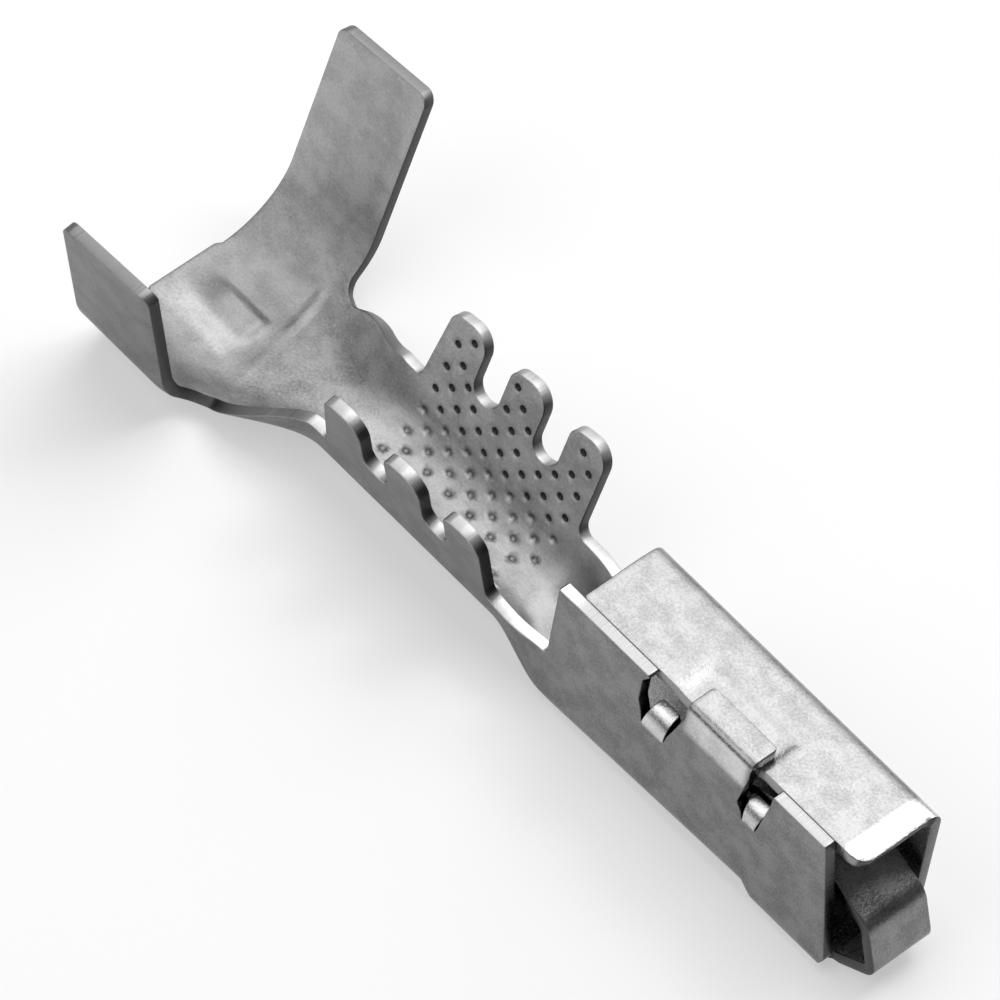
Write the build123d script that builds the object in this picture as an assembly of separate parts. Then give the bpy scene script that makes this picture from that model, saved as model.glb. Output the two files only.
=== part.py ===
"""A crimp terminal folded from one strip: insulation grip, wire grip and a box with an inner spring."""

from build123d import *
import math
import os
from collections import namedtuple

# Every length is in millimetres and every angle in degrees.
# X runs forward to the mouth, Y across to the far wall and Z up from the underside.
# While it is folded, X starts at the rear edge of the top panel.

# The strip that everything is folded from
SHEET = 0.28
SEAM_GAP = 0.03

# Channel sections: flat half width of the floor, outer bend radius, outward lean, floor height
Section = namedtuple("Section", "floor_half bend lean floor_z")
INSULATION = Section(floor_half=0.98, bend=2.14, lean=12.6, floor_z=0.0)
CORE = Section(floor_half=0.12, bend=1.18, lean=14.3, floor_z=0.40)
BOX_HALF_WIDTH = 1.236
BOX_BEND = 0.37
BOX = Section(floor_half=BOX_HALF_WIDTH - BOX_BEND, bend=BOX_BEND, lean=0.0, floor_z=0.0)
BLEND_STEPS = 8

# Box walls and floor
BOX_HEIGHT = 3.80
FLOOR_FRONT_X = 7.82
FLOOR_CORNER_BACK = 0.12
NEAR_WALL_OVERHANG = 0.42
NEAR_WALL_REACH = 0.11
NEAR_WALL_SLANT = 0.58
NEAR_WALL_LOW_Z = 0.50
FAR_WALL_REACH = 0.31
FAR_WALL_LOW_Z = 0.90
WALL_ROUND = 0.12
WALL_JOINT_DEPTH = 0.70

# Raised floor of the box, and the shoulder that steps down to the flat pad under the mouth
PAD_LENGTH = 2.04
SHOULDER_RUN = 0.28
RAMP_FLAT = 0.20
RAMP_RISE = 0.26

# Top panel with its crease, its front lip and the recess that seats the seam tab
CREASE_Y = 0.50
CREASE_FALL = 4.0
CREASE_ROUND = 0.40
LIP_BACK = 0.24
LIP_LENGTH = 0.52
LIP_FALL = 14.0
LIP_FAR_Y = 0.92
LIP_BEND = 0.35
LIP_CORNER = 0.40
RECESS_DEPTH = 0.05
RECESS_REAR_MARGIN = 0.38
RECESS_FRONT_MARGIN = 0.04
RECESS_FAR_Y = 0.05

# Seam tab folded from the near wall over the top panel
TAB_REAR_X = 3.30
TAB_LENGTH = 1.86
TAB_EDGE_Y = -0.50
TAB_BEND = 0.30
TAB_JOINT_DEPTH = 0.35
TAB_CORNER = 0.12

# Windows on each side of the tab, as distances from it and depths below the box's top
WINDOW_ROUND = 0.10
REAR_WINDOW = [(1.22, 0.30), (0.88, -0.20), (0.03, -0.20), (0.03, 0.25), (0.44, 1.24), (1.12, 1.24), (1.22, 0.95)]
FRONT_WINDOW = [(0.06, -0.20), (0.69, -0.20), (0.65, 0.30), (0.38, 1.28), (0.02, 1.28), (-0.17, 1.08)]

# Ears that are bent inwards at the windows' lower edges: root and tip distances from the tab, depth
Ear = namedtuple("Ear", "near_root far_root near_tip far_tip depth")
REAR_EAR = Ear(near_root=0.48, far_root=1.06, near_tip=0.58, far_tip=1.02, depth=1.22)
FRONT_EAR = Ear(near_root=0.03, far_root=0.33, near_tip=-0.28, far_tip=0.29, depth=1.26)
EAR_BEND = 0.28
EAR_FOOT = 0.20
EAR_EDGE_Y = -0.67

# Spring tongue, whose front lies ahead of the floor and whose crest leaves a gap for the mating blade
TONGUE_HALF = 0.75
TONGUE_LIFT = 0.08
TONGUE_NOSE = 1.12
TONGUE_NOSE_Z = 0.64
TONGUE_FOLD = 0.68
TONGUE_FOLD_Z = 1.86
TONGUE_CREST_BACK = 2.22
TONGUE_TIP_BACK = 4.72
TONGUE_TIP_DROP = 1.15
BLADE_GAP = 0.42
TONGUE_LIFT_ROUND = 0.60
TONGUE_NOSE_ROUND = 0.38
TONGUE_FOLD_ROUND = 0.50
TONGUE_CREST_ROUND = 1.40

# Trough between the wire grip and the box
TROUGH_LENGTH = 1.63
TROUGH_REAR_Z = 1.68
TROUGH_FRONT_Z = 1.55
TROUGH_FILLET = 0.30

# Wire grip with its scalloped fingers
FINGERS = 3
FINGER_WIDTH = 1.06
FINGER_PITCH = 1.77
FINGER_REAR_Z = 3.78
FINGER_FRONT_Z = 3.92
FINGER_REAR_ROUND = 0.30
FINGER_FRONT_ROUND = 0.50
NOTCH_Z = 2.46
NOTCH_FLAT = 0.03
CORE_FRONT_MARGIN = 0.06
CORE_REAR_MARGIN = 0.49

# Square pits in slanting rows, coined into the strip before it is bent
PIT_SIDE = 0.15
PIT_DEPTH = 0.05
PIT_ROWS = 14
PIT_COLUMNS = 12
PIT_ALONG_ROW = (0.352, 0.334)
PIT_NEXT_ROW = (0.305, -0.348)
PIT_FIRST_BACK = 4.24
PIT_FIRST_UP = 1.95
PIT_EDGE = 0.20

# Neck between the two grips
NECK_LENGTH = 3.20
NECK_FOOT_BACK = 0.17
NECK_TOP_RUN = 0.57
NECK_TOP_Z = 1.83
NECK_SLOPE_RUN = 0.85
NECK_SLOPE_Z = 1.36
NECK_RISE_RUN = 1.28
NECK_LOW_RUN = 0.46
NECK_LOW_Z = 0.46
NECK_FILLET = 0.40
NECK_ROOT_FILLET = 0.22
NECK_FOOT_FILLET = 0.15

# Insulation grip: its far wing is the longer one
Wing = namedtuple("Wing", "tail_z front_z")
NEAR_WING = Wing(tail_z=4.76, front_z=5.04)
FAR_WING = Wing(tail_z=5.48, front_z=5.71)
WING_LEAN = 0.02
WING_LENGTH = 2.60
WING_CORNER = 0.25
TAIL_LEAN = 0.04
CARRIER_STUB = 0.10
CARRIER_STUB_HALF = 0.92

# Boss pressed up into the insulation grip's floor, a little to the far side of its middle
BOSS_BACK = 0.44
BOSS_LENGTH = 1.40
BOSS_NEAR_Y = -0.14
BOSS_FAR_Y = 0.42
BOSS_HEIGHT = 0.09

# Uncut walls and cutters reach this far past what they trim
MARGIN = 1.0
ASIDE = 6.0

# Stations along X that follow from the sizes above
NEAR_WALL_REAR_X = -NEAR_WALL_OVERHANG
SHOULDER_FRONT_X = FLOOR_FRONT_X - PAD_LENGTH
SHOULDER_REAR_X = SHOULDER_FRONT_X - SHOULDER_RUN
FAR_WALL_FRONT_X = FLOOR_FRONT_X + FAR_WALL_REACH
LIP_START_X = FLOOR_FRONT_X - LIP_BACK
TAB_FRONT_X = TAB_REAR_X + TAB_LENGTH
CORE_END_X = NEAR_WALL_REAR_X - TROUGH_LENGTH
FINGER_FRONT_X = CORE_END_X - CORE_FRONT_MARGIN
FINGER_START_X = FINGER_FRONT_X - (FINGERS - 1) * FINGER_PITCH - FINGER_WIDTH
CORE_START_X = FINGER_START_X - CORE_REAR_MARGIN
NECK_START_X = CORE_START_X - NECK_LENGTH
NECK_FOOT_X = FINGER_START_X - NECK_FOOT_BACK
NECK_TOP_X = NECK_FOOT_X - NECK_TOP_RUN
NECK_SLOPE_X = NECK_TOP_X - NECK_SLOPE_RUN
NECK_LOW_END_X = NECK_SLOPE_X - NECK_RISE_RUN
NECK_ROOT_X = NECK_LOW_END_X - NECK_LOW_RUN
WING_FRONT_X = NECK_ROOT_X - WING_LEAN
TAIL_TOP_X = WING_FRONT_X - WING_LENGTH
TAIL_FOOT_X = TAIL_TOP_X + TAIL_LEAN
CARRIER_STUB_X = TAIL_FOOT_X - CARRIER_STUB
TRIM_TOP = FAR_WING.front_z + MARGIN


def bent_strip(corners, radii):
    """Section of a bent sheet: its outer line runs through corners, its inner line on the left."""
    outer = [Vector(*corner) for corner in corners]
    runs = [(end - start).normalized() for start, end in zip(outer, outer[1:])]
    normals = [Vector(-run.Y, run.X) for run in runs]
    before = [normals[0], *normals]
    after = [*normals, normals[-1]]
    inner = [
        point + (first + second) * (SHEET / (1 + first.dot(second)))
        for point, first, second in zip(outer, before, after)
    ]
    turns = [math.copysign(1, first.cross(second).Z) for first, second in zip(runs, runs[1:])]
    inner_radii = [radius - turn * SHEET for radius, turn in zip(radii, turns)]
    rounding = [0, *radii, 0, 0, *reversed(inner_radii), 0]
    return make_face(FilletPolyline(*outer, *reversed(inner), radius=rounding, close=True))


def channel_section(x, shape):
    """The open channel's section at x, with walls that reach above every edge."""
    half_turn = math.radians((90 - shape.lean) / 2)
    corner = shape.floor_half + shape.bend * math.tan(half_turn)
    top = corner + (TRIM_TOP - shape.floor_z) * math.tan(math.radians(shape.lean))
    corners = [(-top, TRIM_TOP), (-corner, shape.floor_z), (corner, shape.floor_z), (top, TRIM_TOP)]
    return Plane.YZ.offset(x) * bent_strip(corners, [shape.bend, shape.bend])


def blended(rear_x, rear, front_x, front):
    """Sections between two shapes, which change slowly at both ends."""
    sections = []
    for step in range(1, BLEND_STEPS):
        way = step / BLEND_STEPS
        share = way * way * (3 - 2 * way)
        shape = Section(*(a + (b - a) * share for a, b in zip(rear, front)))
        sections.append(channel_section(rear_x + (front_x - rear_x) * way, shape))
    return sections


def channel():
    """The whole channel from the tail to the front of the box, before its edges are cut."""
    raised = BOX._replace(floor_z=RAMP_RISE)
    sections = [channel_section(CARRIER_STUB_X, INSULATION), channel_section(NECK_START_X, INSULATION)]
    sections += blended(NECK_START_X, INSULATION, CORE_START_X, CORE)
    sections += [channel_section(CORE_START_X, CORE), channel_section(CORE_END_X, CORE)]
    sections += blended(CORE_END_X, CORE, NEAR_WALL_REAR_X, BOX)
    sections += [channel_section(NEAR_WALL_REAR_X, BOX), channel_section(0, BOX)]
    sections += [channel_section(SHOULDER_REAR_X - RAMP_FLAT, raised), channel_section(SHOULDER_REAR_X, raised)]
    sections += [channel_section(SHOULDER_FRONT_X, BOX), channel_section(FAR_WALL_FRONT_X, BOX)]
    return loft(sections, ruled=True)


def grip_edge(wing):
    """Corners and radii of the side outline from the tail to the front of the last finger."""
    edge = [((TAIL_FOOT_X, -MARGIN), 0), ((TAIL_TOP_X, wing.tail_z), WING_CORNER)]
    edge += [((WING_FRONT_X, wing.front_z), WING_CORNER), ((NECK_ROOT_X, NECK_LOW_Z), NECK_ROOT_FILLET)]
    edge += [((NECK_LOW_END_X, NECK_LOW_Z), NECK_FILLET), ((NECK_SLOPE_X, NECK_SLOPE_Z), NECK_FILLET)]
    edge += [((NECK_TOP_X, NECK_TOP_Z), NECK_FILLET), ((NECK_FOOT_X, NECK_TOP_Z), NECK_FOOT_FILLET)]
    notch_round = (FINGER_PITCH - FINGER_WIDTH - NOTCH_FLAT) / 2
    for finger in range(FINGERS):
        rear_x = FINGER_START_X + finger * FINGER_PITCH
        front_x = rear_x + FINGER_WIDTH
        if finger:
            edge.append(((rear_x, NOTCH_Z), notch_round))
        edge.append(((rear_x, FINGER_REAR_Z), FINGER_REAR_ROUND))
        edge.append(((front_x, FINGER_FRONT_Z), FINGER_FRONT_ROUND))
        if finger < FINGERS - 1:
            edge.append(((front_x, NOTCH_Z), notch_round))
        else:
            edge.append(((front_x, TROUGH_REAR_Z), TROUGH_FILLET))
    return edge


def side_keeper(edge, side):
    """A prism over one half of the channel, as high as that side's edge."""
    corners = [corner for corner, _ in edge]
    radii = [radius for _, radius in edge]
    face = Plane.XZ * make_face(FilletPolyline(*corners, radius=radii, close=True))
    return extrude(face, amount=-side * ASIDE)


def cut_channel():
    """The channel with the outline of its near side and its far side."""
    near_low_x = FLOOR_FRONT_X + NEAR_WALL_REACH
    corner_x = FLOOR_FRONT_X - FLOOR_CORNER_BACK
    wall_joint_z = BOX_HEIGHT - WALL_JOINT_DEPTH
    near = [((NEAR_WALL_REAR_X, TROUGH_FRONT_Z), WALL_ROUND), ((NEAR_WALL_REAR_X, BOX_HEIGHT), WALL_ROUND)]
    near += [((near_low_x - NEAR_WALL_SLANT, BOX_HEIGHT), 0), ((near_low_x, NEAR_WALL_LOW_Z), WALL_ROUND)]
    near += [((corner_x, 0), 0), ((corner_x, -MARGIN), 0)]
    far = [((0, TROUGH_FRONT_Z), WALL_ROUND), ((0, wall_joint_z), 0), ((FAR_WALL_FRONT_X, wall_joint_z), 0)]
    far += [((FAR_WALL_FRONT_X, FAR_WALL_LOW_Z), WALL_ROUND), ((corner_x, 0), 0), ((corner_x, -MARGIN), 0)]
    keepers = side_keeper(grip_edge(NEAR_WING) + near, -1) + side_keeper(grip_edge(FAR_WING) + far, 1)
    return channel() & keepers


def block(low, high):
    """A block between two opposite corners."""
    size = [b - a for a, b in zip(low, high)]
    return Pos(*low) * Box(*size, align=(Align.MIN, Align.MIN, Align.MIN))


def top_panel():
    """The panel that the far wall becomes, with its crease, its tab recess and its bent front lip."""
    edge_y = -(BOX_HALF_WIDTH - SHEET - SEAM_GAP)
    wall_joint_z = BOX_HEIGHT - WALL_JOINT_DEPTH
    fall = (BOX_HALF_WIDTH - CREASE_Y) * math.tan(math.radians(CREASE_FALL))
    corners = [(BOX_HALF_WIDTH, wall_joint_z), (BOX_HALF_WIDTH, BOX_HEIGHT - fall)]
    corners += [(CREASE_Y, BOX_HEIGHT), (edge_y, BOX_HEIGHT)]
    panel = extrude(Plane.YZ * bent_strip(corners, [BOX_BEND, CREASE_ROUND]), amount=FAR_WALL_FRONT_X)
    panel -= block((LIP_START_X - LIP_BEND, -ASIDE, wall_joint_z), (FAR_WALL_FRONT_X, LIP_FAR_Y, BOX_HEIGHT))
    lip_end_x = LIP_START_X + LIP_LENGTH * math.cos(math.radians(LIP_FALL))
    lip_end_z = BOX_HEIGHT - LIP_LENGTH * math.sin(math.radians(LIP_FALL))
    side = [(lip_end_x, lip_end_z), (LIP_START_X, BOX_HEIGHT), (LIP_START_X - LIP_BEND, BOX_HEIGHT)]
    lip = extrude(Plane.XZ.offset(-LIP_FAR_Y) * bent_strip(side, [LIP_BEND]), amount=LIP_FAR_Y - edge_y)
    outline = [(0, edge_y), (lip_end_x, edge_y), (lip_end_x, ASIDE), (0, ASIDE)]
    plan = make_face(FilletPolyline(*outline, radius=[0, LIP_CORNER, 0, 0], close=True))
    return with_recess(panel + (lip & extrude(plan, amount=TRIM_TOP)), edge_y)


def with_recess(panel, edge_y):
    """Presses the panel down under the seam tab, with a sharp step all round."""
    rear_x = TAB_REAR_X - RECESS_REAR_MARGIN
    front_x = TAB_FRONT_X + RECESS_FRONT_MARGIN
    under_z = BOX_HEIGHT - SHEET
    boss = block((rear_x, edge_y, under_z - RECESS_DEPTH), (front_x, RECESS_FAR_Y, under_z))
    hollow = block((rear_x, edge_y, BOX_HEIGHT - RECESS_DEPTH), (front_x, RECESS_FAR_Y, BOX_HEIGHT))
    return panel + boss - hollow


def folded_strip(rear_x, front_x, top_z, edge_y, bend, joint_z):
    """A strip that rises from joint_z in the near wall and folds inwards to edge_y at top_z."""
    corners = [(edge_y, top_z), (-BOX_HALF_WIDTH, top_z), (-BOX_HALF_WIDTH, joint_z)]
    return extrude(Plane.YZ.offset(rear_x) * bent_strip(corners, [bend]), amount=front_x - rear_x)


def with_window(terminal, corners, tab_x, away):
    """Cuts a window in the near wall, whose corners lie away from the tab's edge at tab_x."""
    outline = [(tab_x + away * ahead, BOX_HEIGHT - depth) for ahead, depth in corners]
    face = Plane.XZ.offset(BOX_HALF_WIDTH - SHEET) * make_face(
        FilletPolyline(*outline, radius=WINDOW_ROUND, close=True)
    )
    return terminal - extrude(face, amount=ASIDE)


def with_ear(terminal, ear, tab_x, away):
    """Adds an ear, whose root and tip lie away from the tab's edge at tab_x."""
    roots = [tab_x + away * ear.near_root, tab_x + away * ear.far_root]
    tips = [tab_x + away * ear.near_tip, tab_x + away * ear.far_tip]
    top_z = BOX_HEIGHT - ear.depth
    joint_z = top_z - EAR_BEND - EAR_FOOT
    strip = folded_strip(min(roots + tips), max(roots + tips), top_z, EAR_EDGE_Y, EAR_BEND, joint_z)
    root_y = EAR_BEND - BOX_HALF_WIDTH
    plan = [(roots[0], -ASIDE), (roots[0], root_y), (tips[0], EAR_EDGE_Y)]
    plan += [(tips[1], EAR_EDGE_Y), (roots[1], root_y), (roots[1], -ASIDE)]
    strip &= extrude(make_face(Polyline(*plan, close=True)), amount=TRIM_TOP)
    slot = block((min(roots), -ASIDE, joint_z), (max(roots), SHEET - BOX_HALF_WIDTH, top_z))
    return terminal - slot + strip


def near_wall_details(terminal):
    """Cuts the windows and adds the inner ears and the seam tab."""
    terminal = with_window(terminal, REAR_WINDOW, TAB_REAR_X, -1)
    terminal = with_window(terminal, FRONT_WINDOW, TAB_FRONT_X, 1)
    terminal = with_ear(terminal, REAR_EAR, TAB_REAR_X, -1)
    terminal = with_ear(terminal, FRONT_EAR, TAB_FRONT_X, 1)
    joint_z = BOX_HEIGHT - TAB_JOINT_DEPTH
    tab_top = BOX_HEIGHT - RECESS_DEPTH + SEAM_GAP + SHEET
    terminal -= block((TAB_REAR_X, -ASIDE, joint_z), (TAB_FRONT_X, SHEET - BOX_HALF_WIDTH, TRIM_TOP))
    tab = folded_strip(TAB_REAR_X, TAB_FRONT_X, tab_top, TAB_EDGE_Y, TAB_BEND, joint_z)
    plan = [(TAB_REAR_X, -ASIDE), (TAB_FRONT_X, -ASIDE), (TAB_FRONT_X, TAB_EDGE_Y), (TAB_REAR_X, TAB_EDGE_Y)]
    corners = [0, 0, TAB_CORNER, TAB_CORNER]
    return terminal + (tab & extrude(make_face(FilletPolyline(*plan, radius=corners, close=True)), amount=TRIM_TOP))


def spring_tongue():
    """The floor's front end, folded up and back into the box as a contact spring."""
    crest_z = BOX_HEIGHT - SHEET - BLADE_GAP
    corners = [(SHOULDER_FRONT_X, 0), (FLOOR_FRONT_X + TONGUE_LIFT, 0)]
    corners += [(FLOOR_FRONT_X + TONGUE_NOSE, TONGUE_NOSE_Z), (FLOOR_FRONT_X + TONGUE_FOLD, TONGUE_FOLD_Z)]
    corners += [(FLOOR_FRONT_X - TONGUE_CREST_BACK, crest_z)]
    corners += [(FLOOR_FRONT_X - TONGUE_TIP_BACK, crest_z - TONGUE_TIP_DROP)]
    radii = [TONGUE_LIFT_ROUND, TONGUE_NOSE_ROUND, TONGUE_FOLD_ROUND, TONGUE_CREST_ROUND]
    tongue = extrude(Plane.XZ * bent_strip(corners, radii), amount=TONGUE_HALF, both=True)
    root = block((SHOULDER_FRONT_X, -BOX.floor_half, 0), (FLOOR_FRONT_X, BOX.floor_half, SHEET))
    return tongue + root


def carrier_stub():
    """What is left of the web that joined the terminal to its carrier strip."""
    low = (CARRIER_STUB_X, -CARRIER_STUB_HALF, 0)
    return block(low, (NECK_START_X, CARRIER_STUB_HALF, SHEET))


def with_boss(terminal):
    """Presses a boss up into the insulation grip's floor, hollow on its underside."""
    front_x = WING_FRONT_X - BOSS_BACK
    rear_x = front_x - BOSS_LENGTH
    terminal += block((rear_x, BOSS_NEAR_Y, SHEET), (front_x, BOSS_FAR_Y, SHEET + BOSS_HEIGHT))
    return terminal - block((rear_x, BOSS_NEAR_Y, 0), (front_x, BOSS_FAR_Y, BOSS_HEIGHT))


def pit_place(x, along):
    """A place on the wire grip's inner face, at a distance round the strip from the floor's middle."""
    side = math.copysign(1, along)
    turn = math.radians(90 - CORE.lean)
    neutral = CORE.bend - SHEET / 2
    angle = min(max((abs(along) - CORE.floor_half) / neutral, 0), turn)
    up_wall = max(abs(along) - CORE.floor_half - neutral * turn, 0)
    flat = min(abs(along), CORE.floor_half)
    inner = CORE.bend - SHEET
    y = flat + inner * math.sin(angle) + up_wall * math.cos(angle)
    z = CORE.floor_z + CORE.bend - inner * math.cos(angle) + up_wall * math.sin(angle)
    inwards = Vector(0, -side * math.sin(angle), math.cos(angle))
    return Plane(origin=(x, side * y, z), x_dir=(1, 0, 0), z_dir=inwards)


def serrations():
    """The pits of both wings and the floor between them, as cutters."""
    turn = math.radians(90 - CORE.lean)
    wall_start = CORE.floor_half + (CORE.bend - SHEET / 2) * turn
    highest = wall_start + (NOTCH_Z - CORE.bend) / math.cos(math.radians(CORE.lean)) - PIT_EDGE
    pits = []
    for row in range(PIT_ROWS):
        for column in range(-row, PIT_COLUMNS):
            x = FINGER_FRONT_X - PIT_FIRST_BACK + column * PIT_ALONG_ROW[0] + row * PIT_NEXT_ROW[0]
            up = PIT_FIRST_UP + column * PIT_ALONG_ROW[1] + row * PIT_NEXT_ROW[1]
            along = wall_start + up
            if CORE_START_X < x < FINGER_FRONT_X - PIT_EDGE and 0 < along < highest:
                sides = [along, -along] if along > PIT_SIDE else [along]
                pits += [pit_place(x, place) * Rot(0, 0, 45) * Box(PIT_SIDE, PIT_SIDE, 2 * PIT_DEPTH) for place in sides]
    return pits


def terminal_solid():
    """The finished terminal, moved so that the middle of its underside pad is the origin."""
    terminal = cut_channel() + top_panel()
    terminal = near_wall_details(terminal)
    terminal += spring_tongue()
    terminal += carrier_stub()
    terminal = with_boss(terminal)
    terminal -= serrations()
    pad_middle_x = (SHOULDER_FRONT_X + FLOOR_FRONT_X) / 2
    return Pos(-pad_middle_x, 0, 0) * terminal


os.makedirs("parts", exist_ok=True)
export_step(terminal_solid(), "parts/terminal.step")
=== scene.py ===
import logging
import math
from dataclasses import dataclass, field
from enum import Enum
from typing import Any, Iterable, Sequence

import bpy
import numpy as np
from mathutils import Matrix
from mathutils.geometry import delaunay_2d_cdt


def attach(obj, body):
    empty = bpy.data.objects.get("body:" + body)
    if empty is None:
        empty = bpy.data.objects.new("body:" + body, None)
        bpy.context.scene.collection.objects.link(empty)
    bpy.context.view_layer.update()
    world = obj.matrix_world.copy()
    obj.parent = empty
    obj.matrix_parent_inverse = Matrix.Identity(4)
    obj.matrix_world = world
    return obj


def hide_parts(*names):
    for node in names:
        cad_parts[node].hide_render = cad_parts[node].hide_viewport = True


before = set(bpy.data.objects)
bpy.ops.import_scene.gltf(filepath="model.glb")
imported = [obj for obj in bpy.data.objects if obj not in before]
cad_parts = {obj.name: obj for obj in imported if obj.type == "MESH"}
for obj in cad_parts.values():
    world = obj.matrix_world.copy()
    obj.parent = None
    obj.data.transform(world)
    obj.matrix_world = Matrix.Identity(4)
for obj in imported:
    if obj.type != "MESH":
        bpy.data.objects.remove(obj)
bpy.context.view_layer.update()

LOG = logging.getLogger("terminal")

MM = 0.001
NODE = "terminal"
BODY = "root"
SAME_PLACE = 1e-9
MERGE_REACH = 1e-6
FLAT_RISE = 1e-12
CHUNK = 4000
INSIDE_FACES = 1

Array = np.ndarray
Pair = tuple[float, float]
Place = tuple[float, float, float]
RoundCorner = tuple[float, float, float]
Colour = tuple[float, float, float, float]


class Zone(Enum):
    """The parts of the blank that are folded in a way of their own."""

    PLAIN = 0
    TAB = 1
    REAR_EAR = 2
    FRONT_EAR = 3
    TONGUE = 4


def smoothstep(low: float, high: float, value: Array) -> Array:
    """A share that runs smoothly from 0 at low to 1 at high: 3 w squared minus 2 w cubed.

    Args:
        low: value at which the share is 0.
        high: value at which the share is 1.
        value: values to rate.

    Returns:
        The share at each value.
    """
    way = np.clip((value - low) / (high - low), 0.0, 1.0)
    return way * way * (3.0 - 2.0 * way)


@dataclass(frozen=True)
class Band:
    """A share that rises from 0 to 1 between two values and falls back to 0 between two larger ones."""

    rise: Pair
    fall: Pair

    def share(self, value: Array) -> Array:
        """The share at each value."""
        return smoothstep(*self.rise, value) * smoothstep(self.fall[1], self.fall[0], value)


def columns(*parts: Array) -> Array:
    """Rows made of one array for each column."""
    return np.stack(parts, axis=1)


def unit(vectors: Array) -> Array:
    """The same vectors at length 1."""
    return vectors / np.linalg.norm(vectors, axis=-1, keepdims=True)


def lengths(line: Array) -> Array:
    """Length of each run between two points of a line."""
    return np.linalg.norm(np.diff(line, axis=0), axis=1)


def lengths_to(line: Array) -> Array:
    """Length along a line from its first point to each of its points."""
    return np.concatenate([[0.0], np.cumsum(lengths(line))])


def grey(level: float) -> Colour:
    """An opaque grey."""
    return level, level, level, 1.0


def pose(axes: Sequence[Array], place: Array) -> Matrix:
    """The matrix that puts a thing at a place, with its own X, Y and Z along three axes."""
    turn = np.eye(4)
    turn[:3, :3] = np.stack(axes, axis=1)
    turn[:3, 3] = place
    return Matrix(turn.tolist())


def rounded_line(corners: Sequence[RoundCorner], step: float) -> Array:
    """Points along a line of straight runs whose corners are arcs.

    Each arc touches both of its runs at radius times the tangent of half the turn from the corner.

    Args:
        corners: two coordinates and a radius for each corner, 0 for a sharp one and for the two ends.
        step: longest distance between two points.

    Returns:
        The points, in order.
    """
    points = np.array(corners, float)[:, :2]
    pieces: list[Array] = []
    for index, (*_, radius) in enumerate(corners):
        here = points[index]
        if radius <= 0:
            pieces.append(here[None])
            continue
        back = unit(points[index - 1] - here)
        ahead = unit(points[index + 1] - here)
        half = math.acos(float(np.clip(back @ ahead, -1.0, 1.0))) / 2
        centre = here + unit(back + ahead) * radius / math.sin(half)
        start = here + back * radius / math.tan(half) - centre
        end = here + ahead * radius / math.tan(half) - centre
        angle = math.pi - 2 * half
        steps = max(2, math.ceil(angle * radius / step) + 1)
        way = np.linspace(0.0, 1.0, steps)[:, None]
        share_start = np.sin((1 - way) * angle) / math.sin(angle)
        share_end = np.sin(way * angle) / math.sin(angle)
        pieces.append(centre + start * share_start + end * share_end)
    return refined(np.concatenate(pieces), step)


def refined(line: Array, step: float) -> Array:
    """The same line with points added so that none are further apart than step.

    Args:
        line: points in order.
        step: longest distance between two points.

    Returns:
        The denser line.
    """
    line = line[np.concatenate([[True], lengths(line) > SAME_PLACE])]
    runs, reach = lengths(line), lengths_to(line)
    counts = np.maximum(1, np.ceil(runs / step)).astype(int)
    stops = [reach[i] + runs[i] * np.arange(n) / n for i, n in enumerate(counts)]
    at = np.concatenate([*stops, reach[-1:]])
    return np.stack([np.interp(at, reach, line[:, axis]) for axis in range(line.shape[1])], axis=1)


@dataclass(frozen=True)
class Section:
    """One cross section of the open channel, in millimetres and degrees."""

    floor_half: float
    bend: float
    lean: float
    floor_z: float

    def values(self) -> tuple[float, float, float, float]:
        """The section's four numbers, with the lean in radians."""
        return self.floor_half, self.bend, math.radians(self.lean), self.floor_z


@dataclass(frozen=True)
class Lengthways:
    """Where along X the channel changes, in millimetres from the top panel's rear edge."""

    tail_foot: float = -12.62
    tail_top: float = -12.66
    wing_front: float = -10.06
    neck_start: float = -10.40
    neck_root: float = -10.04
    neck_low_end: float = -9.58
    neck_slope: float = -8.30
    neck_top: float = -7.45
    neck_foot: float = -6.88
    core_start: float = -7.20
    finger_start: float = -6.71
    core_end: float = -2.05
    near_wall_rear: float = -0.42
    ramp_end: float = 5.30
    shoulder_rear: float = 5.50
    shoulder_front: float = 5.78
    near_top_front: float = 7.35
    lip_start: float = 7.58
    tongue_start: float = 7.00
    near_front: float = 7.93
    floor_corner: float = 7.70
    floor_front: float = 7.82
    far_front: float = 8.13

    @property
    def pad_middle(self) -> float:
        """The frame's origin, at the middle of the flat pad under the box."""
        return (self.shoulder_front + self.floor_front) / 2


@dataclass(frozen=True)
class Fingers:
    """The scalloped fingers of the wire grip."""

    count: int = 3
    width: float = 1.06
    pitch: float = 1.77
    rear_z: float = 3.78
    front_z: float = 3.92
    rear_round: float = 0.30
    front_round: float = 0.50
    notch_z: float = 2.46
    notch_round: float = 0.34


@dataclass(frozen=True)
class Ear:
    """A strip of the near wall that is folded inwards and may widen towards its tip."""

    rear_x: float
    front_x: float
    tip_rear_x: float
    tip_front_x: float
    top_z: float
    edge_y: float = -0.67
    bend: float = 0.28
    neck: float = 0.06

    def length(self, half_width: float) -> float:
        """Length on the blank from the foot of the bend to the tip."""
        return self.bend * math.pi / 2 + half_width - self.bend + self.edge_y

    def edges(self, up: Array, length: float) -> tuple[Array, Array]:
        """Rear and front edge at each distance above the foot of the bend."""
        share = np.clip((up - self.neck) / (length - self.neck), 0.0, 1.0)
        return (self.rear_x + (self.tip_rear_x - self.rear_x) * share,
                self.front_x + (self.tip_front_x - self.front_x) * share)


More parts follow.
